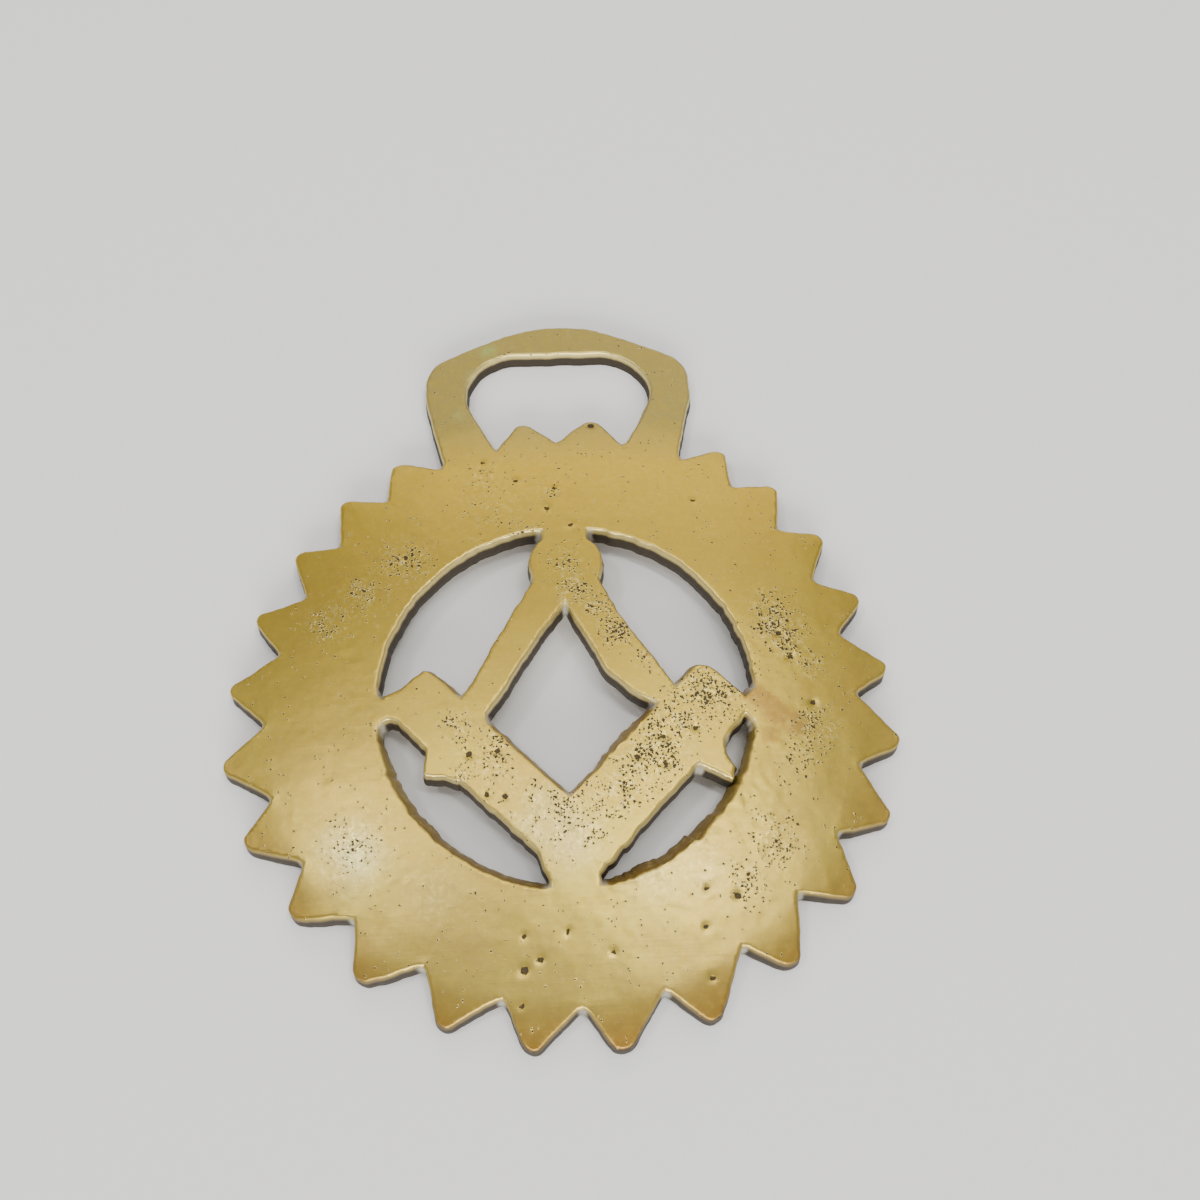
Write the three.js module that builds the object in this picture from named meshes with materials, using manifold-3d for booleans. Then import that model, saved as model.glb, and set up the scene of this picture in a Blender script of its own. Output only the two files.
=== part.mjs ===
// A cast horse brass: a domed disc with a toothed rim, pierced with a pair of
// compasses laid over a set-square, and a hanger above it for a strap.
// Millimetres, +Z up. It lies on its back, with the hanger towards +Y.
// Outlines are drawn about the disc's own centre, and the finished casting is
// then set with the middle of its footprint on the origin.
import * as THREE from 'three';
import { mergeVertices } from 'three/addons/utils/BufferGeometryUtils.js';
import Module from 'manifold-3d';

const wasm = await Module();
wasm.setup();

// Disc and dome
const rimRadius = 38;
const rimThickness = 2.3;
const domeRise = 3.8;
const domePower = 2.4; // nearly flat in the middle, steeper at the rim
const domeEase = 0.3; // rounds the change from dome to flat hanger
const backLand = 0.6; // dome height below which the back is left flat
const blankRadius = 58; // reaches past the hanger
const blankSides = 96;
const blankRings = [8, 15, 21, 25, 29, 33, 36, 38, 40];

// Toothed rim
const toothCount = 26;
const gapRadius = 33.4;
const pointRadius = 38.7; // where the straight flanks would meet
const tipRounding = 1.3;
const gapLean = -0.7; // degrees: the gaps sit a little off centre

// Hand-filed teeth are uneven, and close up towards the hanger. Each row is a
// wave round the rim: how many waves, its size, and the degrees from the top
// where it peaks. Reaches are millimetres and swings are degrees.
const pointReach = [[3, 0.46, 21], [5, 0.34, 36]];
const pointSwing = [[1, 4.55, 270], [5, 0.6, 20]];
const gapReach = [[1, 0.5, 0], [2, 0.4, 12], [3, 0.42, 16], [5, 0.38, 36]];
const gapSwing = [[1, 4.45, 281], [7, 0.55, 19]];

// Hanger, drawn about its own middle
const hangerMiddle = 0.3;
const hangerLegFoot = 13.2; // half width where the legs run into the disc
const hangerFootHeight = 26;
const hangerHalfWidth = 16.9;
const hangerWaist = 41.2; // height where the legs turn upright
const hangerWaistRounding = 7;
const hangerRoofSlope = 0.456;
const hangerApex = 54.7; // where the two roof slopes would meet
const hangerShoulderRounding = 4.6;
const hangerTopRounding = 18.5;
const slotHalfWidth = 11.9;
const slotFootHalfWidth = 6;
const slotFootHeight = 29;
const slotWaist = 41;
const slotTop = 48.2; // the strap bears on this edge
const slotWaistRounding = 2.5;
const slotTopRounding = 6.4;

// Round opening
const ringRadius = 21.2;
const ringCentre = [0.1, -0.5];
const ringSides = 120;

// Set-square: two arms that meet in a right angle at the foot of the opening
const squareInnerCorner = [0, -12.1];
const leftArm = { width: 6.8, reach: 21.9, cornerRounding: 0.6 };
const rightArm = { width: 8, reach: 21.9, cornerRounding: 1.7 };
const squareFoot = [
  [-3.9, -17.4, 0.4],
  [-2.2, -21.2, 0],
  [-2.2, -24, 0],
  [2.9, -24, 0],
  [2.9, -20.4, 0],
  [5.2, -17.2, 0.4],
  [0, -13, 0],
];

// Webs that tie the ends of the arms to the ring
const leftWeb = [
  [-16, 2.88, 0],
  [-18.2, 1.2, 2],
  [-20.4, 0.2, 0.5],
  [-23, 1.2, 0],
  [-23, -3.8, 0],
  [-21, -3.6, 0],
  [-19.6, -2.6, 0.7],
  [-18.4, -3.1, 0.7],
  [-16.2, -5.3, 0],
];
const rightWeb = [
  [19, -1, 0],
  [20.2, -1.1, 0.4],
  [21, -0.3, 0],
  [23, -0.3, 0],
  [23, -4.4, 0],
  [21.1, -4.4, 0],
  [19.8, -3.4, 0.6],
  [18, -4.6, 0],
];

// Compasses
const jointCentre = [0.5, 16];
const jointRadius = 4.3;
const jointSides = 40;
const neckWidth = 5.3;
const neckTop = 24; // ends inside the disc
const crotch = [0.25, 10.8];
const leftLeg = [
  [-2.7, 15, 0],
  [-10, 1.9, 3],
  [-15.4, -6, 0.3],
  [-15.7, -9.3, 0.4],
  [-11.5, -10.1, 0.6],
  [-8.8, -2.6, 0.3],
  [...crotch, 0],
  [1.5, 15, 0],
];
const rightLegOuter = [[-0.5, 15], [3.8, 14.6], [6.3, 9.3], [12.4, -0.2], [17.3, -6.3]];
const rightPoint = [[17.3, -7.8], [18.1, -9.2], [17.8, -10.9], [14.4, -9.2]];
const rightLegFlare = { from: [10.6, -2.4], bend: [5.2, 0.4], to: [3.9, 3.4] };

const outlineSteps = 6; // points to each rounded corner
const cutHeight = 12; // taller than the casting anywhere

// A shape from corners [x, y, rounding]
function roundedOutline(corners) {
  const shape = new THREE.Shape();
  corners.forEach(([x, y, rounding], i) => {
    const here = new THREE.Vector2(x, y);
    const before = corners[(i + corners.length - 1) % corners.length];
    const after = corners[(i + 1) % corners.length];
    const back = new THREE.Vector2(before[0], before[1]).sub(here).normalize();
    const ahead = new THREE.Vector2(after[0], after[1]).sub(here).normalize();
    const halfAngle = Math.acos(THREE.MathUtils.clamp(back.dot(ahead), -1, 1)) / 2;
    const place = i === 0 ? 'moveTo' : 'lineTo';
    if (rounding === 0) {
      shape[place](x, y);
      return;
    }
    const tangent = rounding / Math.tan(halfAngle);
    const start = here.clone().addScaledVector(back, tangent);
    const middle = back.clone().add(ahead).normalize();
    const centre = here.clone().addScaledVector(middle, rounding / Math.sin(halfAngle));
    const from = start.clone().sub(centre).angle();
    const end = here.clone().addScaledVector(ahead, tangent);
    const to = end.clone().sub(centre).angle();
    const clockwise = THREE.MathUtils.euclideanModulo(to - from, 2 * Math.PI) > Math.PI;
    shape[place](start.x, start.y);
    shape.absarc(centre.x, centre.y, rounding, from, to, clockwise);
  });
  shape.closePath();
  return shape;
}

// A closed body as a solid that can be joined and cut
function solidOf(geometry) {
  const bare = new THREE.BufferGeometry();
  bare.setAttribute('position', geometry.getAttribute('position'));
  if (geometry.index) bare.setIndex(geometry.index);
  const merged = mergeVertices(bare, 1e-4);
  const corners = merged.index.array;
  const triangles = [];
  for (let i = 0; i < corners.length; i += 3) {
    const [a, b, c] = corners.slice(i, i + 3);
    if (a !== b && b !== c && c !== a) triangles.push(a, b, c);
  }
  return new wasm.Manifold(new wasm.Mesh({
    numProp: 3,
    vertProperties: new Float32Array(merged.getAttribute('position').array),
    triVerts: new Uint32Array(triangles),
  }));
}

function geometryOf(solid) {
  const mesh = solid.getMesh();
  const geometry = new THREE.BufferGeometry();
  geometry.setAttribute('position', new THREE.BufferAttribute(mesh.vertProperties, 3));
  geometry.setIndex(new THREE.BufferAttribute(mesh.triVerts, 1));
  geometry.computeVertexNormals();
  return geometry;
}

// A flat outline standing as a prism, from below the casting to above it
function standing(shape) {
  const settings = { depth: cutHeight, bevelEnabled: false, curveSegments: outlineSteps };
  return solidOf(new THREE.ExtrudeGeometry(shape, settings).translate(0, 0, -1));
}

function standingRound([x, y], radius, sides) {
  const cylinder = new THREE.CylinderGeometry(radius, radius, cutHeight, sides);
  cylinder.rotateX(Math.PI / 2).translate(x, y, cutHeight / 2 - 1);
  return solidOf(cylinder);
}

// Height of the dome over the rim
function domeHeight(radius) {
  const cap = domeRise * (1 - (radius / rimRadius) ** domePower);
  return (cap + Math.hypot(cap, domeEase)) / 2;
}

// The dished blank that every outline is cut from
function dishedBlank() {
  const radii = [0, ...blankRings, blankRadius];
  const back = radii.map((r) => new THREE.Vector2(r, Math.max(domeHeight(r) - backLand, 0)));
  const face = radii.map((r) => new THREE.Vector2(r, rimThickness + domeHeight(r)));
  const profile = [...back, ...face.reverse()];
  return solidOf(new THREE.LatheGeometry(profile, blankSides).rotateX(Math.PI / 2));
}

// Sum of uneven waves at an angle from the top, in degrees
function unevenness(waves, degrees) {
  return waves.reduce((sum, [count, size, peak]) => (
    sum + size * Math.cos(THREE.MathUtils.degToRad(count * (degrees - peak)))), 0);
}

// Point on the rim at an angle from the top, in degrees
function onRim(degrees, radius) {
  const turn = THREE.MathUtils.degToRad(degrees);
  return [radius * Math.sin(turn), radius * Math.cos(turn)];
}

function toothedDisc() {
  const pitch = 360 / toothCount;
  const corners = [];
  for (let tooth = 0; tooth < toothCount; tooth += 1) {
    const gap = pitch * tooth;
    const point = pitch * (tooth + 0.5);
    const gapTurn = gap + gapLean + unevenness(gapSwing, gap);
    const pointTurn = point + unevenness(pointSwing, point);
    corners.push([...onRim(gapTurn, gapRadius + unevenness(gapReach, gap)), 0]);
    corners.push([...onRim(pointTurn, pointRadius + unevenness(pointReach, point)), tipRounding]);
  }
  return standing(roundedOutline(corners));
}

// Both halves of a left-right outline given by its right half
function mirrored(rightHalf) {
  const leftHalf = rightHalf.map(([x, y, rounding]) => [-x, y, rounding]).reverse();
  return [...rightHalf, ...leftHalf].map(([x, y, rounding]) => [x + hangerMiddle, y, rounding]);
}

function hanger() {
  const shoulder = hangerApex - hangerRoofSlope * hangerHalfWidth;
  const right = [
    [hangerLegFoot, hangerFootHeight, 0],
    [hangerHalfWidth, hangerWaist, hangerWaistRounding],
    [hangerHalfWidth, shoulder, hangerShoulderRounding],
  ];
  const outline = mirrored(right);
  outline.splice(right.length, 0, [hangerMiddle, hangerApex, hangerTopRounding]);
  const slot = mirrored([
    [slotFootHalfWidth, slotFootHeight, 0],
    [slotHalfWidth, slotWaist, slotWaistRounding],
    [slotHalfWidth, slotTop, slotTopRounding],
  ]);
  return standing(roundedOutline(outline)).subtract(standing(roundedOutline(slot)));
}

// One arm of the set-square, side -1 for left and 1 for right
function squareArm(side, { width, reach, cornerRounding }) {
  const [cornerX, cornerY] = squareInnerCorner;
  const diagonal = Math.SQRT1_2;
  const along = [side * diagonal, diagonal];
  const outward = [side * diagonal, -diagonal];
  const place = (distance, depth, rounding) => [
    cornerX + along[0] * distance + outward[0] * depth,
    cornerY + along[1] * distance + outward[1] * depth,
    rounding,
  ];
  const corners = [
    place(0, 0, 0),
    place(reach, 0, cornerRounding),
    place(reach, width, 0),
    place(-width, width, 0),
  ];
  return standing(roundedOutline(corners));
}

function rightLeg() {
  const { from, bend, to } = rightLegFlare;
  const shape = new THREE.Shape();
  shape.moveTo(...rightLegOuter[0]);
  [...rightLegOuter.slice(1), ...rightPoint, from].forEach((point) => shape.lineTo(...point));
  shape.quadraticCurveTo(...bend, ...to);
  shape.lineTo(...crotch);
  shape.closePath();
  return standing(shape);
}

function compasses() {
  const [x, y] = jointCentre;
  const half = neckWidth / 2;
  const neck = [[x - half, y, 0], [x + half, y, 0], [x + half, neckTop, 0], [x - half, neckTop, 0]];
  return standingRound(jointCentre, jointRadius, jointSides)
    .add(standing(roundedOutline(neck)))
    .add(standing(roundedOutline(leftLeg)))
    .add(rightLeg());
}

function setSquare() {
  return squareArm(-1, leftArm)
    .add(squareArm(1, rightArm))
    .add(standing(roundedOutline(squareFoot)))
    .add(standing(roundedOutline(leftWeb)))
    .add(standing(roundedOutline(rightWeb)));
}

function casting() {
  const opening = standingRound(ringCentre, ringRadius, ringSides)
    .subtract(setSquare())
    .subtract(compasses());
  const outline = toothedDisc().add(hanger()).subtract(opening);
  return geometryOf(dishedBlank().intersect(outline));
}

const brass = new THREE.MeshStandardMaterial({ color: 0xb8934a, roughness: 0.38, metalness: 1 });

const geometry = casting();
geometry.computeBoundingBox();
const middle = geometry.boundingBox.getCenter(new THREE.Vector3());
const horseBrass = new THREE.Mesh(geometry, brass);
horseBrass.name = 'horse_brass';
horseBrass.position.set(-middle.x, -middle.y, 0);

const part = new THREE.Group();
part.add(horseBrass);
export default part;
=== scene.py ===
import bpy
import math
import numpy as np
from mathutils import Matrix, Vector, noise
from mathutils.kdtree import KDTree


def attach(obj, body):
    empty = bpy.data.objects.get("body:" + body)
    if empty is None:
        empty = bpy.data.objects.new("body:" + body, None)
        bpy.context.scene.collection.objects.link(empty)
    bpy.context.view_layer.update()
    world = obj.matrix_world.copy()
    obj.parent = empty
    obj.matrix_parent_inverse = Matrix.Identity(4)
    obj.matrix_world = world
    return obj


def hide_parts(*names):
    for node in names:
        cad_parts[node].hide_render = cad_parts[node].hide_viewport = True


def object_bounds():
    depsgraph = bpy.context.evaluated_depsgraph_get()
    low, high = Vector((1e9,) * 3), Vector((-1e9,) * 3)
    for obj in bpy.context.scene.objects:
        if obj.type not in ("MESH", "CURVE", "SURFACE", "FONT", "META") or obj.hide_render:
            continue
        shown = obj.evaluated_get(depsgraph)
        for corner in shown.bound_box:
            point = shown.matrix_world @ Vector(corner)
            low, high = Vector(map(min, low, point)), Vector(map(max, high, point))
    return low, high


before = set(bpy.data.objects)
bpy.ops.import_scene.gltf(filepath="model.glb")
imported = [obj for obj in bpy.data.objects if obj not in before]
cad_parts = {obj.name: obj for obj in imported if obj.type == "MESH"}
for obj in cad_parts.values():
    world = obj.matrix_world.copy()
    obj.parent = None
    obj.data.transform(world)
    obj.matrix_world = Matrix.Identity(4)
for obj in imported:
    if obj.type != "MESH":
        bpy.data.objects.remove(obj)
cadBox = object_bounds()
mm = 0.001

# The dome and plate as in the casting, about the disc's own centre, in millimetres
disc = {
    "centre": (0.05, -7.58),
    "rimRadius": 38.0,
    "domeRise": 3.8,
    "domePower": 2.4,
    "domeEase": 0.3,
    "thickness": 2.3,
    "backLand": 0.6,
}

casting = {  # millimetres, where no note says otherwise
    "mergeGap": 0.01,
    "straight": 1.5,  # degrees: outline points that turn less than this are dropped
    "edgeWidths": (0.14, 0.13),  # the worn edge round every outline, in two bands
    "edgeDrops": (0.17, 0.05),  # how far each band's outer line lies below the face
    "faceCell": 0.34,  # spacing of the points over the face
    "backCell": 1.6,
    "gridMargin": 1.0,  # the cuts are counted from this far outside the casting
    "cutSnap": 0.004,
    "wallLevels": (0.4, 0.9, 1.6),
    "draft": 0.25,  # how far the walls spread towards the back
    "upperDraft": 0.55,  # and how much further on walls that face the hanger
    "flash": 0.55,  # thin metal left along the roughest edges
    "flashLean": 0.3,  # a share: some is left on walls that face a little away
    "upperInset": 0.3,  # how far the face stops short above walls that face the hanger
    "upperReach": 1.6,
    "rimRoll": 0.5,  # the lower teeth are bent down this far at their tips
    "rollFrom": 33.0,
    "rollPower": 1.6,
    "hollowTurn": 60.0,  # degrees: inner corners that turn more than this are eased
    "hollowFill": 0.26,
    "hollowReach": 1.0,
    "hollowStain": 1.3,  # residue gathers this far round them
    "roughGain": 1.6,  # how much more the outline wanders in rough places
    "rimCalm": 0.5,  # and how much less near the rim
    "calmFrom": 28,
    "wanders": [[3.1, 0.17, 1, False], [1.0, 0.13, 3, True], [0.5, 0.05, 7, True]],
    "swells": [[9, 0.05, 5], [3, 0.012, 6]],  # of the face: wavelength, height, seed
    "dentDepth": 0.12,
    "dentSharpness": 1.6,
    "shadeSmooth": 50.0,  # degrees
}

# Soft round patches about the disc's own centre: x, y, radius, amount
patches = {
    "rough": [  # where the casting's edge is rough
        [8, -19, 3, 1], [14, -17, 3, 1], [19, -12, 3, 1], [21, -5, 2.5, 0.6], [4, -18, 2, 1],
        [-19, -9, 2.5, 0.7], [-16, -14, 3, 0.6], [7, -5, 3, 0.8], [21, 7, 3, 0.6],
    ],
    "pits": [  # crowds of small casting pits
        [25, 7.5, 2.4, 0.75], [24, 10.5, 1.6, 0.4], [26, 4.5, 1.6, 0.4], [28.3, 2.5, 1.5, 0.5],
        [28, -5, 2.2, 0.5], [25.5, -9, 2, 0.25], [22, -17, 2.6, 0.5], [19, -22, 2, 0.4],
        [15.5, -0.5, 2.6, 0.7], [18.5, -1, 2, 0.3], [12, -4.5, 2.4, 0.6], [9.5, -8, 2.6, 0.65],
        [6, -11.5, 2.4, 0.5], [2, -15, 3, 0.3], [6.5, 7, 1.7, 0.75], [4, 10, 1.3, 0.5],
        [1.5, 12.5, 1.8, 0.65], [1, 16, 2, 0.3], [9.5, 3.5, 1.4, 0.4], [-11.5, -4.2, 1.8, 0.5],
        [-7.5, -5.5, 1, 0.5], [-7.5, -8.5, 2.2, 0.4], [-11.3, -9.5, 0.8, 0.6],
        [-2.5, -13.5, 3, 0.28], [-18, 17, 2.6, 0.5], [-23, 13, 2.4, 0.45], [-27, 9.5, 2, 0.45],
        [-23, -16, 2.2, 0.35], [-8, 24, 3, 0.2], [-9, 29, 1.5, 0.3], [-4, 20, 2, 0.25],
        [-1, 26, 1.2, 0.3],
    ],
    "stain": [
        [21.5, -1, 1.5, 0.9], [23.5, -3, 1.6, 0.9], [26, -5, 1.8, 0.7], [22.5, -6, 1.4, 0.6],
        [18, -2, 1.5, 0.4],
    ],
    "verdigris": [[-8.5, 49, 1, 1], [-10.4, 45, 0.8, 0.8], [-12, 39, 0.8, 0.5]],
    # painted whitish highlight where the lower face reflects the overhead lamps
    "paleHighlight": [
        [-23, -17, 3.5, 0.8], [0, -17, 3, 0.5], [-14, -22, 3, 0.3], [9, -21, 2.5, 0.4],
        [14, -20, 2.5, 0.5], [-3, -14, 3, 0.4],
    ],
}

# The largest single pits: x, y, radius
dents = [
    [-4.9, -29.8, 0.45], [-3.2, -28.9, 0.34], [17.6, -23.2, 0.42], [14.4, -22.4, 0.28],
    [14.1, -26.2, 0.3], [14.4, -31.2, 0.36], [4.3, -28.4, 0.28], [-4.8, -26.5, 0.28],
    [-0.3, -26.3, 0.28], [-5.2, -33.2, 0.28], [-9.1, 31, 0.3], [-4.9, 28, 0.3],
    [-0.3, 26.6, 0.32], [-1.2, 23.8, 0.35], [1.6, 21.1, 0.32], [16.5, 24.5, 0.28],
    [4.6, 36.8, 0.5], [-18, 17.6, 0.3], [-10.4, -7.2, 0.35], [-7.2, -7, 0.35],
    [-8.4, -11.7, 0.3], [-6.5, -11.9, 0.35], [25, 6.3, 0.38], [26, 3.3, 0.32],
    [28.1, -2.2, 0.35], [14.4, -5.1, 0.35], [10.8, -6.1, 0.32], [10.9, -9.1, 0.32],
    [7.9, -8.3, 0.32],
]


def deselectAll():
    if bpy.context.object and bpy.context.object.mode != "OBJECT":
        bpy.ops.object.mode_set(mode="OBJECT")
    bpy.ops.object.select_all(action="DESELECT")


def makeActive(piece):
    deselectAll()
    piece.select_set(True)
    bpy.context.view_layer.objects.active = piece
    bpy.context.tool_settings.mesh_select_mode = (False, False, True)


def points(mesh):
    co = np.zeros(len(mesh.vertices) * 3)
    mesh.vertices.foreach_get("co", co)
    return co.reshape(-1, 3)


def setPoints(mesh, co):
    mesh.vertices.foreach_set("co", co.reshape(-1))
    mesh.update()


def faceNormals(mesh):
    normals = np.zeros(len(mesh.polygons) * 3)
    mesh.polygons.foreach_get("normal", normals)
    return normals.reshape(-1, 3)


def faceHeights(mesh):
    centres = np.zeros(len(mesh.polygons) * 3)
    mesh.polygons.foreach_get("center", centres)
    return centres.reshape(-1, 3)[:, 2]


def edgeEnds(mesh):
    ends = np.zeros(len(mesh.edges) * 2, np.int32)
    mesh.edges.foreach_get("vertices", ends)
    return ends.reshape(-1, 2)


def outlineEdges(mesh):  # edges that only one face uses
    used = np.zeros(len(mesh.loops), np.int32)
    mesh.loops.foreach_get("edge_index", used)
    return np.bincount(used, minlength=len(mesh.edges)) == 1


def saveField(mesh, name, values):  # one number for each point, kept in the mesh
    field = mesh.attributes.get(name) or mesh.attributes.new(name, "FLOAT", "POINT")
    field.data.foreach_set("value", np.asarray(values, np.float32))


def readField(mesh, name):
    values = np.zeros(len(mesh.vertices), np.float32)
    mesh.attributes[name].data.foreach_get("value", values)
    return values.astype(float)


def editFaces(mesh, chosen):  # goes into edit mode with these faces selected
    mesh.vertices.foreach_set("select", np.zeros(len(mesh.vertices), bool))
    mesh.edges.foreach_set("select", np.zeros(len(mesh.edges), bool))
    mesh.polygons.foreach_set("select", np.asarray(chosen, bool))
    bpy.context.tool_settings.mesh_select_mode = (False, False, True)
    bpy.ops.object.mode_set(mode="EDIT")


def copyOfNode(nodeName, name):  # the copy is loose triangles until its doubles are merged
    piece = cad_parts[nodeName].copy()
    piece.data = piece.data.copy()
    for key in list(piece.keys()):
        del piece[key]
    piece.parent = None
    piece.name = piece.data.name = name
    bpy.context.scene.collection.objects.link(piece)
    makeActive(piece)
    bpy.ops.object.mode_set(mode="EDIT")
    bpy.ops.mesh.select_all(action="SELECT")
    bpy.ops.mesh.remove_doubles(threshold=casting["mergeGap"] * mm)
    bpy.ops.object.mode_set(mode="OBJECT")
    return piece


def cutGrid(cell):  # straight cuts both ways through all that isn't hidden
    margin = casting["gridMargin"] * mm
    low, high = (np.array(corner) for corner in cadBox)
    for axis, normal in ((0, (1, 0, 0)), (1, (0, 1, 0))):
        first, last = low[axis] - margin, high[axis] + margin
        for step in range(1, int((last - first) / cell) + 1):
            place = [0, 0, 0]
            place[axis] = first + step * cell
            bpy.ops.mesh.select_all(action="SELECT")
            bpy.ops.mesh.bisect(plane_co=place, plane_no=normal, threshold=casting["cutSnap"] * mm)


def share(values, none, full):  # 0 at none to 1 at full, straight between
    return np.clip((values - none) / (full - none), 0, 1)


def domeHeight(radius):
    cap = disc["domeRise"] * (1 - (radius / disc["rimRadius"]) ** disc["domePower"])
    return (cap + np.hypot(cap, disc["domeEase"])) / 2


def smoothNoise(co, wavelength, seed):  # -1 to 1
    shift = Vector((seed * 17.3, seed * 9.1, seed * 4.7))
    scale = 1 / wavelength
    return np.array([noise.noise(Vector(p) * scale + shift) for p in co])


def spots(xy, places):
    total = np.zeros(len(xy))
    for x, y, radius, amount in places:
        total += amount * np.exp(-((xy[:, 0] - x) ** 2 + (xy[:, 1] - y) ** 2) / radius**2)
    return total


def sharpHollows(mesh):  # inner corners of the flat outline, and the way each one opens
    co = points(mesh)[:, :2]
    faceMiddles, neighbours = {}, {}
    for polygon in mesh.polygons:
        for key in polygon.edge_keys:
            faceMiddles.setdefault(key, np.array(polygon.center[:2]))
    for index in np.nonzero(outlineEdges(mesh))[0]:
        a, b = mesh.edges[index].vertices
        along = co[b] - co[a]
        toFace = faceMiddles[(min(a, b), max(a, b))] - co[a]
        if along[0] * toFace[1] - along[1] * toFace[0] < 0:  # the metal is kept on the left
            a, b = b, a
        neighbours.setdefault(b, [None, None])[0] = a
        neighbours.setdefault(a, [None, None])[1] = b
    hollows = []
    for here, (before, after) in neighbours.items():
        if before is None or after is None:
            continue
        came, goes = co[here] - co[before], co[after] - co[here]
        turn = math.atan2(came[0] * goes[1] - came[1] * goes[0], float(came @ goes))
        if turn < -math.radians(casting["hollowTurn"]):
            opens = goes / np.linalg.norm(goes) - came / np.linalg.norm(came)
            hollows.append([*co[here] / mm, *opens / np.linalg.norm(opens)])
    return hollows


print("casting: flat outline")
brass = copyOfNode("horse_brass", "brass_casting")
mesh = brass.data
editFaces(mesh, faceNormals(mesh)[:, 2] < 0.5)
bpy.ops.mesh.delete(type="FACE")
bpy.ops.object.mode_set(mode="OBJECT")
flat = points(mesh)
flat[:, 2] = 0
setPoints(mesh, flat)
mesh.edges.foreach_set("select", ~outlineEdges(mesh))
bpy.context.tool_settings.mesh_select_mode = (False, True, False)
bpy.ops.object.mode_set(mode="EDIT")
bpy.ops.mesh.delete(type="EDGE")
bpy.ops.mesh.select_all(action="SELECT")
bpy.ops.mesh.dissolve_limited(angle_limit=math.radians(casting["straight"]))
bpy.ops.mesh.fill(use_beauty=True)
bpy.ops.mesh.normals_make_consistent(inside=False)
bpy.ops.object.mode_set(mode="OBJECT")
hollows = sharpHollows(mesh)

print("casting: worn edge")
outermost = len(casting["edgeWidths"])  # the outline's band; it falls to 0 past the last inset
onOutline = np.zeros(len(mesh.vertices))
onOutline[edgeEnds(mesh)[outlineEdges(mesh)].reshape(-1)] = outermost
saveField(mesh, "band", onOutline)
for step, width in enumerate(casting["edgeWidths"], 1):
    bpy.ops.object.mode_set(mode="EDIT")
    if step == 1:
        bpy.ops.mesh.select_all(action="SELECT")
    bpy.ops.mesh.inset(thickness=width * mm, use_boundary=True, use_even_offset=True)
    bpy.ops.object.mode_set(mode="OBJECT")
    inner = np.zeros(len(mesh.vertices), bool)
    mesh.vertices.foreach_get("select", inner)
    values = readField(mesh, "band")
    values[inner] = outermost - step
    saveField(mesh, "band", values)

print("casting: walls and back")
thickness = disc["thickness"]
justAboveBack = (0.01 - thickness) * mm
bpy.ops.object.mode_set(mode="EDIT")
bpy.ops.mesh.select_all(action="SELECT")
bpy.ops.mesh.extrude_region_move(TRANSFORM_OT_translate={"value": (0, 0, -thickness * mm)})
for level in casting["wallLevels"]:
    bpy.ops.mesh.select_all(action="SELECT")
    bpy.ops.mesh.bisect(plane_co=(0, 0, -level * mm), plane_no=(0, 0, 1))
bpy.ops.object.mode_set(mode="OBJECT")
editFaces(mesh, faceHeights(mesh) < justAboveBack)
bpy.ops.mesh.select_all(action="INVERT")
bpy.ops.mesh.hide()
cutGrid(casting["backCell"] * mm)
bpy.ops.mesh.reveal()
bpy.ops.object.mode_set(mode="OBJECT")

print("casting: face")
editFaces(mesh, faceHeights(mesh) < justAboveBack)
bpy.ops.mesh.hide()
cutGrid(casting["faceCell"] * mm)
bpy.ops.mesh.reveal()
bpy.ops.object.mode_set(mode="OBJECT")
editFaces(mesh, faceHeights(mesh) < justAboveBack)
bpy.ops.mesh.quads_convert_to_tris(quad_method="BEAUTY", ngon_method="BEAUTY")
bpy.ops.mesh.select_all(action="SELECT")
bpy.ops.mesh.normals_make_consistent(inside=False)
bpy.ops.object.mode_set(mode="OBJECT")

print("casting: where each point lies")
co = points(mesh) / mm
depth = -co[:, 2] / thickness  # 0 on the face to 1 on the back
band = readField(mesh, "band")
band[depth > 0.01] = outermost
normals = faceNormals(mesh)
outward = np.zeros((len(co), 3))  # the way out of the metal, for points on a wall
for polygon in mesh.polygons:
    if abs(normals[polygon.index][2]) < 0.5:
        for corner in polygon.vertices:
            outward[corner] += normals[polygon.index]
length = np.linalg.norm(outward, axis=1)
outward[length > 0] /= length[length > 0, None]
outward[:, 2] = 0
xy = co[:, :2] - np.array(disc["centre"])
radius = np.hypot(xy[:, 0], xy[:, 1])
plan = np.column_stack([xy, np.zeros(len(xy))])
onWall = np.nonzero(length > 0)[0]
tree = KDTree(len(onWall))
for order, index in enumerate(onWall):
    tree.insert((co[index][0], co[index][1], 0), order)
tree.balance()
found = [tree.find((x, y, 0))[1:] for x, y, height in co]
nearest = onWall[[order for order, gap in found]]
inFromEdge = np.array([gap for order, gap in found])
facing = outward[nearest, 1]  # 1 where the nearest wall faces the hanger, -1 where it faces away
rough = np.clip(spots(xy, patches["rough"]), 0, 1)
downward = np.clip(-xy[:, 1] / disc["rimRadius"], 0, 1)
roll = share(radius, casting["rollFrom"], disc["rimRadius"])
dent = np.clip(casting["dentSharpness"] * spots(xy, [[*place, 1] for place in dents]), 0, 1)

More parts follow.
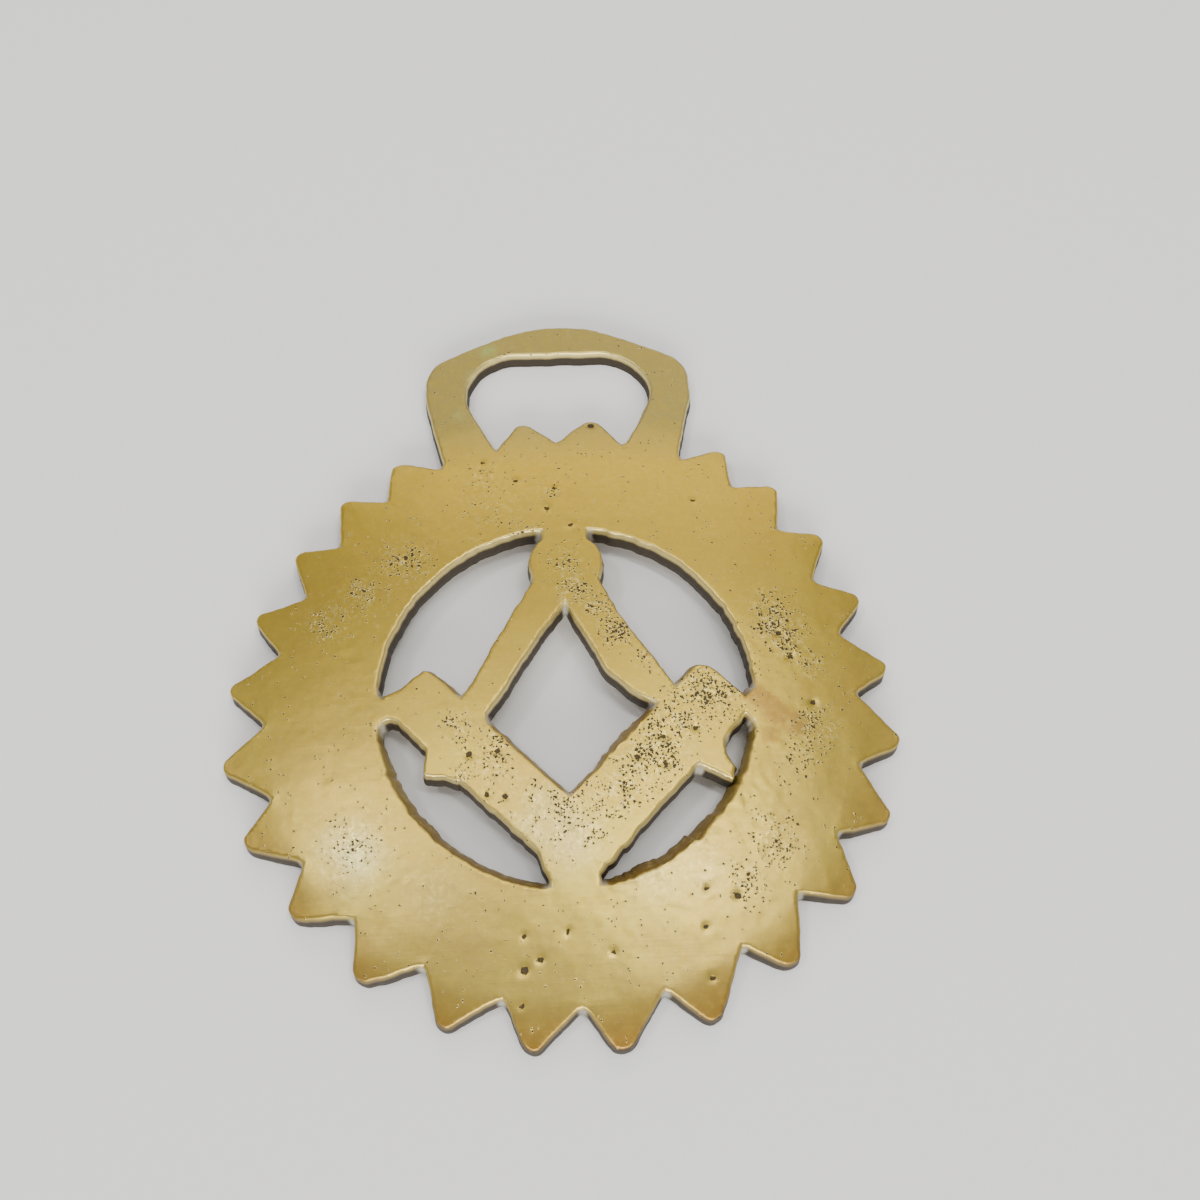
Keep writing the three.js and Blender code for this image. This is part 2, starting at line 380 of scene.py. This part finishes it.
print("casting: uneven walls, draft and eased corners")
ragged = (1 + casting["roughGain"] * rough - casting["rimCalm"] * (radius > casting["calmFrom"]))
wander = np.zeros((len(co), 2))
for wavelength, reach, seed, moreWhereRough in casting["wanders"]:
    shift = np.column_stack([smoothNoise(plan, wavelength, s) for s in (seed, seed + 1)])
    wander += shift * reach * (ragged[:, None] if moreWhereRough else 1)
easing = np.zeros((len(co), 2))
nearHollow = np.zeros(len(co))
for x, y, opensX, opensY in hollows:
    gap = np.hypot(co[:, 0] - x, co[:, 1] - y)
    eased = casting["hollowFill"] * np.clip(1 - gap / casting["hollowReach"], 0, 1) ** 2
    easing += eased[:, None] * (opensX, opensY)
    nearHollow = np.maximum(nearHollow, np.exp(-((gap / casting["hollowStain"]) ** 2)))
upperShift = np.clip(facing, 0, 1) * np.clip(1 - inFromEdge / casting["upperReach"], 0, 1) ** 2
co[:, 1] -= casting["upperInset"] * upperShift * (1 - depth)
co[:, :2] += wander + easing
spread = casting["draft"] + casting["upperDraft"] * np.clip(outward[:, 1], 0, 1)
spread += casting["flash"] * rough * np.clip(outward[:, 1] + casting["flashLean"], 0, 1)
co += outward * (spread * depth)[:, None]

print("casting: dome, bent teeth and dents")
dome = domeHeight(radius)
face = thickness + dome
face -= np.interp(band, [0, 1, 2], [0, *reversed(casting["edgeDrops"])])
for wavelength, height, seed in casting["swells"]:
    face += smoothNoise(plan, wavelength, seed) * height
face -= casting["rimRoll"] * downward * roll ** casting["rollPower"]
face -= casting["dentDepth"] * dent
back = np.maximum(dome - disc["backLand"], 0)
co[:, 2] = face + (back - face) * depth
setPoints(mesh, co * mm)

wear = {  # where the finish changes: millimetres, or shares where a note says so
    "facingReach": 0.45,  # further in than this, it doesn't matter which way a wall faces
    "rim": (31, 33),  # the rim's plainer edge sets in between these radii
    "rimTop": 30,  # and ends below the hanger
    "wallTop": 0.14,  # share of the thickness that stays bright round the openings, above the painted wall shade
    "wallFade": 0.25,
    "edge": (0.55, 0.45),  # shares: how bright the worn edge and its painted highlight are, and how much more where it faces away from the hanger, towards the front light
    "rimEdge": 0.8,  # share of that which the rim loses
    "tipShadeLine": (1.3, 0.8),  # gain and start of the painted shade line round the bent tips
    "hangerSideShade": (1.4, 0.4, 4),  # painted shade on edges and walls that face the hanger: gain, start, and how fast it thickens down the wall
    "pitsEverywhere": 0.16,  # share of the pits in a crowd
    "upperShade": (-30, 30),
    "hanger": (30, 38),
}

print("casting: fields for the finish")
onFace = depth < 0.5
onBack = (depth > 0.99) & (inFromEdge > 0.05)
facing[inFromEdge > wear["facingReach"]] = 0
rimmed = share(radius, *wear["rim"]) * (xy[:, 1] < wear["rimTop"])
wallTop = wear["wallTop"] * (1 - rimmed)
# painted shade: a dark line round the bent lower tips
gain, start = wear["tipShadeLine"]
tipShadeLine = downward * roll * np.clip(gain * band - start, 0, 1)
# painted shade and painted reflection of a dark surround, below the bright top band, on walls that
# don't face the hanger
wallShade = share(depth, wallTop, wallTop + wear["wallFade"]) * share(facing, 0.5, 0)
# worn edge band with a painted highlight: brighter where it faces away from the hanger, towards
# the front light, dimmer on the rim
bright, swing = wear["edge"]
edge = band / outermost * (bright - swing * facing) * (1 - wear["rimEdge"] * rimmed)
# painted shade: brown on the edges and walls that face the hanger, away from the light
gain, start, thickening = wear["hangerSideShade"]
hangerSideShade = np.clip(facing * gain, 0, 1) * np.clip(band + depth * thickening - start, 0, 1)
pitting = np.clip(wear["pitsEverywhere"] + spots(xy, patches["pits"]), 0, 1)
fields = {
    "back": onBack,
    "wallShade": np.where(onBack, 0, np.maximum(wallShade, tipShadeLine)),
    "edge": np.where(onBack, 0, edge),
    "hangerSideShade": np.where(onBack, 0, hangerSideShade),
    "hollow": nearHollow,
    "pitting": np.where(depth > 0.02, -1, pitting),
    "dent": onFace * dent,
    # painted shade: darker orange-brown on the bent-down lower teeth
    "bentTipShade": downward * roll,
    # painted shade: deeper gold towards the top, where the face reflects the darker far side
    "upperShade": share(xy[:, 1], *wear["upperShade"]),
    "hanger": share(xy[:, 1], *wear["hanger"]),
}
for name in ("stain", "verdigris", "paleHighlight"):
    fields[name] = onFace * np.clip(spots(xy, patches[name]), 0, 1)
for name, values in fields.items():
    saveField(mesh, name, values)
mesh.attributes.remove(mesh.attributes["band"])
makeActive(brass)
bpy.ops.object.shade_smooth_by_angle(angle=math.radians(casting["shadeSmooth"]))
triangles = sum(len(polygon.vertices) - 2 for polygon in mesh.polygons)
print("casting has", len(mesh.vertices), "points and", triangles, "triangles")

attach(brass, "root")
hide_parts("horse_brass")


class Signal:  # one output of a node, so that shader maths reads as sums
    def __init__(self, graph, socket):
        self.graph = graph
        self.socket = socket

    def join(self, operation, first, second):
        return self.graph.node("ShaderNodeMath", {"operation": operation}, {0: first, 1: second})

    def __add__(self, other):
        return self.join("ADD", self, other)

    __radd__ = __add__

    def __mul__(self, other):
        return self.join("MULTIPLY", self, other)

    __rmul__ = __mul__

    def __sub__(self, other):
        return self.join("SUBTRACT", self, other)

    def __rsub__(self, other):
        return self.join("SUBTRACT", other, self)

    def atLeast(self, other):
        return self.join("MAXIMUM", self, other)


class Graph:  # a material's nodes
    def __init__(self, name):
        self.material = bpy.data.materials.new(name)
        self.material.use_nodes = True
        self.tree = self.material.node_tree
        self.tree.nodes.clear()

    def node(self, kind, settings=None, inputs=None, output=0):
        made = self.tree.nodes.new(kind)
        for key, value in (settings or {}).items():
            setattr(made, key, value)
        for key, value in (inputs or {}).items():
            if isinstance(value, Signal):
                self.tree.links.new(value.socket, made.inputs[key])
            else:
                made.inputs[key].default_value = value
        return Signal(self, made.outputs[output]) if len(made.outputs) else made

    def field(self, name):
        return self.node("ShaderNodeAttribute", {"attribute_name": name}, None, "Fac")

    def cloud(self, where, wavelength, detail=3, roughness=0.5):  # wavelength in millimetres
        return self.node("ShaderNodeTexNoise", None, {
            "Vector": where, "Scale": 1000 / wavelength, "Detail": detail, "Roughness": roughness})

    def between(self, value, low, high):  # 0 at low to 1 at high, eased
        return self.node("ShaderNodeMapRange", {"interpolation_type": "SMOOTHSTEP"}, {
            "Value": value, "From Min": low, "From Max": high})

    def blend(self, amount, under, over):
        return self.node("ShaderNodeMix", {"data_type": "RGBA", "clamp_factor": True}, {
            0: amount, 6: under, 7: over}, 2)

    def principled(self, inputs):
        shader = self.node("ShaderNodeBsdfPrincipled", None, inputs)
        self.node("ShaderNodeOutputMaterial", None, {"Surface": shader})
        return self.material


tones = {
    "face": (0.5, 0.355, 0.082, 1),
    "faceDeep": (0.53, 0.35, 0.03, 1),
    "facePale": (0.52, 0.395, 0.075, 1),
    "hanger": (0.335, 0.272, 0.09, 1),
    # bright cream of the worn edges with their painted highlight
    "edge": (1.0, 0.84, 0.34, 1),
    "pit": (0.03, 0.02, 0.012, 1),
    # painted shade on the hanger-facing edges
    "hangerSideShade": (0.24, 0.15, 0.03, 1),
    "residue": (0.5, 0.48, 0.4, 1),
    # painted shade on the walls
    "wallShade": (0.035, 0.024, 0.012, 1),
    "stain": (0.33, 0.185, 0.045, 1),
    "back": (0.26, 0.18, 0.06, 1),
    # painted whitish highlight
    "paleHighlight": (0.62, 0.55, 0.27, 1),
    # painted shade on the bent-down lower teeth
    "bentTipShade": (0.37, 0.195, 0.035, 1),
    "verdigris": (0.3, 0.42, 0.1, 1),
}

finish = {
    "pits": [[0.8, 1.2, 0.24], [0.5, 1.09, 0.27], [0.34, 1.14, 0.32]],  # cell, rarity, size
    "pitWaver": 0.3,  # how far a pit's outline wavers, in millimetres
    "waverScale": 3300,
    "brushing": [[12, 0.22, 0.5], [-38, 0.3, 0.3], [80, 0.3, 0.2]],  # degrees, spacing, share
    "brushScale": 60,  # along the scratches
    "roughness": 0.26,
    "relief": 0.12,  # depth of a pit, in millimetres
    "reliefStrength": 0.8,
}


def agedBrass():
    graph = Graph("aged brass")
    between, cloud = graph.between, graph.cloud
    edge, wallShade, hangerSideShade, hollow = [graph.field(name) for name in ("edge", "wallShade", "hangerSideShade", "hollow")]
    pitting, dent, paleHighlight, bentTipShade = [graph.field(name) for name in ("pitting", "dent", "paleHighlight", "bentTipShade")]
    upperShade, hanger, back = [graph.field(name) for name in ("upperShade", "hanger", "back")]
    stain, verdigris = graph.field("stain"), graph.field("verdigris")
    where = graph.node("ShaderNodeTexCoord", None, None, "Object")
    waver = graph.node("ShaderNodeTexNoise", None, {
        "Vector": where, "Scale": finish["waverScale"], "Detail": 1}, "Color")
    wavering = graph.node("ShaderNodeVectorMath", {"operation": "MULTIPLY_ADD"}, {
        0: waver, 1: (finish["pitWaver"] * mm,) * 3, 2: where})
    cloudy = cloud(where, 9, 4, 0.6)
    fine = cloud(where, 1.2, 4, 0.65)
    grain = cloud(where, 0.5, 3, 0.6)
    crowd = pitting * (0.45 + between(cloud(where, 1.7, 2), 0.35, 0.62) * 0.75)

    def pits(cell, rarity, size):  # how far inside a pit each point lies, negative outside
        flat = {"voronoi_dimensions": "2D"}  # so that no pit streaks down a wall
        cells = {"Vector": wavering, "Scale": 1000 / cell}
        gap = graph.node("ShaderNodeTexVoronoi", flat, cells, "Distance")
        luck = crowd + graph.node("ShaderNodeSeparateColor", None, {
            0: graph.node("ShaderNodeTexVoronoi", flat, cells, "Color")})
        there = between(luck, rarity, rarity + 0.02)
        reach = between(luck, rarity - 0.6, rarity + 0.4) * size
        return (reach - gap) * cell - (1 - there)

    def brushing(turn, spacing):  # fine scratches that run one way
        stretched = graph.node("ShaderNodeMapping", None, {
            "Vector": where, "Rotation": (0, 0, math.radians(turn)),
            "Scale": (finish["brushScale"], 1000 / spacing, finish["brushScale"])})
        return graph.node("ShaderNodeTexNoise", None, {
            "Vector": stretched, "Scale": 1, "Detail": 3, "Roughness": 0.7})

    large, middling, small = [pits(*kind) for kind in finish["pits"]]
    pitDepth = large.atLeast(middling).atLeast(small)
    holes = between(pitDepth, -0.01, 0.03).atLeast(between(dent + fine * 0.4, 0.78, 0.98))
    # painted highlight: a bright ring round each pit, as if its raised rim caught the light
    pitRimGlint = between(pitDepth, -0.07, -0.02) - holes
    flecks = between(grain, 0.5, 0.66) * (pitting + paleHighlight * 0.6 - 0.1)
    dull = between(cloud(where, 0.55, 3, 0.6), 0.52, 0.36) * (pitting + paleHighlight + 0.15)
    residue = between(hollow + fine * 0.5, 0.75, 1.2) * (wallShade * 0.8 + hangerSideShade * 0.5 + edge * 0.4)
    scratches = sum(brushing(turn, spacing) * part for turn, spacing, part in finish["brushing"])

    layers = [  # from the bottom up: where each one lies, and its tone
        [between(cloudy, 0.35, 0.7), "facePale"],
        # painted shade: deeper gold towards the top
        [upperShade * 0.8, "faceDeep"],
        [hanger * 0.8, "hanger"],
        # painted whitish highlight on the lower face
        [paleHighlight * between(cloudy + fine * 0.4, 0.5, 0.85), "paleHighlight"],
        # painted shade on the bent-down lower teeth
        [bentTipShade, "bentTipShade"],
        [between(fine, 0.45, 0.75) * 0.3, "faceDeep"],
        [between(stain + fine * 0.8, 0.6, 1.1) * 0.75, "stain"],
        [verdigris * between(fine, 0.35, 0.65), "verdigris"],
        [dull * 0.5, "hanger"],
        [back * 0.85, "back"],
        # worn edges with a painted highlight
        [edge * 0.8, "edge"],
        # painted shade on the walls and round the bent tips
        [wallShade, "wallShade"],
        # painted shade on the hanger-facing edges and walls
        [hangerSideShade * between(fine, 0.2, 0.5), "hangerSideShade"],
        [residue, "residue"],
        # painted highlight on the pit rims, and pale flecks
        [pitRimGlint * 0.4 + flecks * 0.7, "edge"],
        [holes * 0.94, "pit"],
    ]
    colour = tones["face"]
    for amount, tone in layers:
        colour = graph.blend(amount, colour, tones[tone])

    dirt = (edge * 0.2 + back * 0.3 + residue * 0.8 + hangerSideShade * 0.5 + wallShade * 0.6
            + holes * 0.5 + verdigris * 0.5)
    roughness = (finish["roughness"] + fine * 0.1 + scratches * 0.1 + hanger * 0.05
                 - edge * 0.08 + dirt * 0.4)
    height = grain * 0.05 + fine * 0.1 + scratches * 0.12 - holes + pitRimGlint * 0.15
    bump = graph.node("ShaderNodeBump", None, {
        "Strength": finish["reliefStrength"], "Distance": finish["relief"] * mm, "Height": height})
    return graph.principled({
        "Base Color": colour, "Metallic": (1 - dirt).atLeast(0.0), "Roughness": roughness,
        "Normal": bump})


print("materials")
mesh.materials.clear()
mesh.materials.append(agedBrass())

room = {
    "floorSize": 6,  # metres
    "floorTone": (0.86, 0.86, 0.85, 1),
    "floorRoughness": 0.7,
    "skyTone": (0.95, 0.96, 1.0, 1),
    "skyStrength": 0.56,
}

# name, where it stands, what it faces, width and height (metres), watts, tone
lamps = [
    ["overheadStrip", (0.05, 0.06, 1.0), (0, -0.02, 0), 0.8, 0.1, 2.7, (1.0, 0.98, 0.95)],
    ["leftWindow", (-0.46, 0.05, 0.95), (-0.01, -0.02, 0), 0.12, 0.12, 1.5, (1.0, 0.99, 0.98)],
    ["rightWindow", (0.28, -0.04, 1.0), (0.01, -0.02, 0), 0.12, 0.12, 1.1, (1.0, 0.98, 0.94)],
    ["rightGlow", (0.3, 0.34, 1.0), (0.01, -0.02, 0), 0.3, 0.3, 1.2, (1.0, 0.97, 0.9)],
    ["frontWindow", (0.0, -1.2, 0.55), (0, 0, 0), 1.2, 0.4, 18.0, (1.0, 0.98, 0.93)],
    ["farWall", (0.1, 1.3, 0.9), (0, 0, 0), 1.4, 0.7, 5.5, (1.0, 0.95, 0.86)],
]

camera = {
    "place": (0.1, -55.98, 130.53),  # millimetres
    "turn": (25.41, -0.9, -2.5),  # degrees
    "lens": 36.0,
    "sensor": 36.0,
    "nearest": 10.0,
}

print("floor, light and camera")
deselectAll()
bpy.ops.mesh.primitive_plane_add(size=room["floorSize"])
floor = bpy.context.object
floor.name = "floor"
floor.data.materials.append(Graph("pale floor").principled({
    "Base Color": room["floorTone"], "Roughness": room["floorRoughness"]}))

world = bpy.data.worlds.new("room")
bpy.context.scene.world = world
world.use_nodes = True
sky = world.node_tree.nodes["Background"]
sky.inputs["Color"].default_value = room["skyTone"]
sky.inputs["Strength"].default_value = room["skyStrength"]

for name, place, target, width, height, watts, tone in lamps:
    light = bpy.data.lights.new(name, "AREA")
    light.shape = "RECTANGLE"
    light.size, light.size_y = width, height
    light.energy = watts
    light.color = tone
    lamp = bpy.data.objects.new(name, light)
    bpy.context.scene.collection.objects.link(lamp)
    lamp.location = place
    lamp.rotation_euler = (Vector(target) - Vector(place)).to_track_quat("-Z", "Y").to_euler()

view = bpy.data.cameras.new("camera")
view.lens = camera["lens"]
view.sensor_width = camera["sensor"]
view.clip_start = camera["nearest"] * mm
viewer = bpy.data.objects.new("camera", view)
bpy.context.scene.collection.objects.link(viewer)
viewer.location = Vector(camera["place"]) * mm
viewer.rotation_euler = [math.radians(angle) for angle in camera["turn"]]
bpy.context.scene.camera = viewer
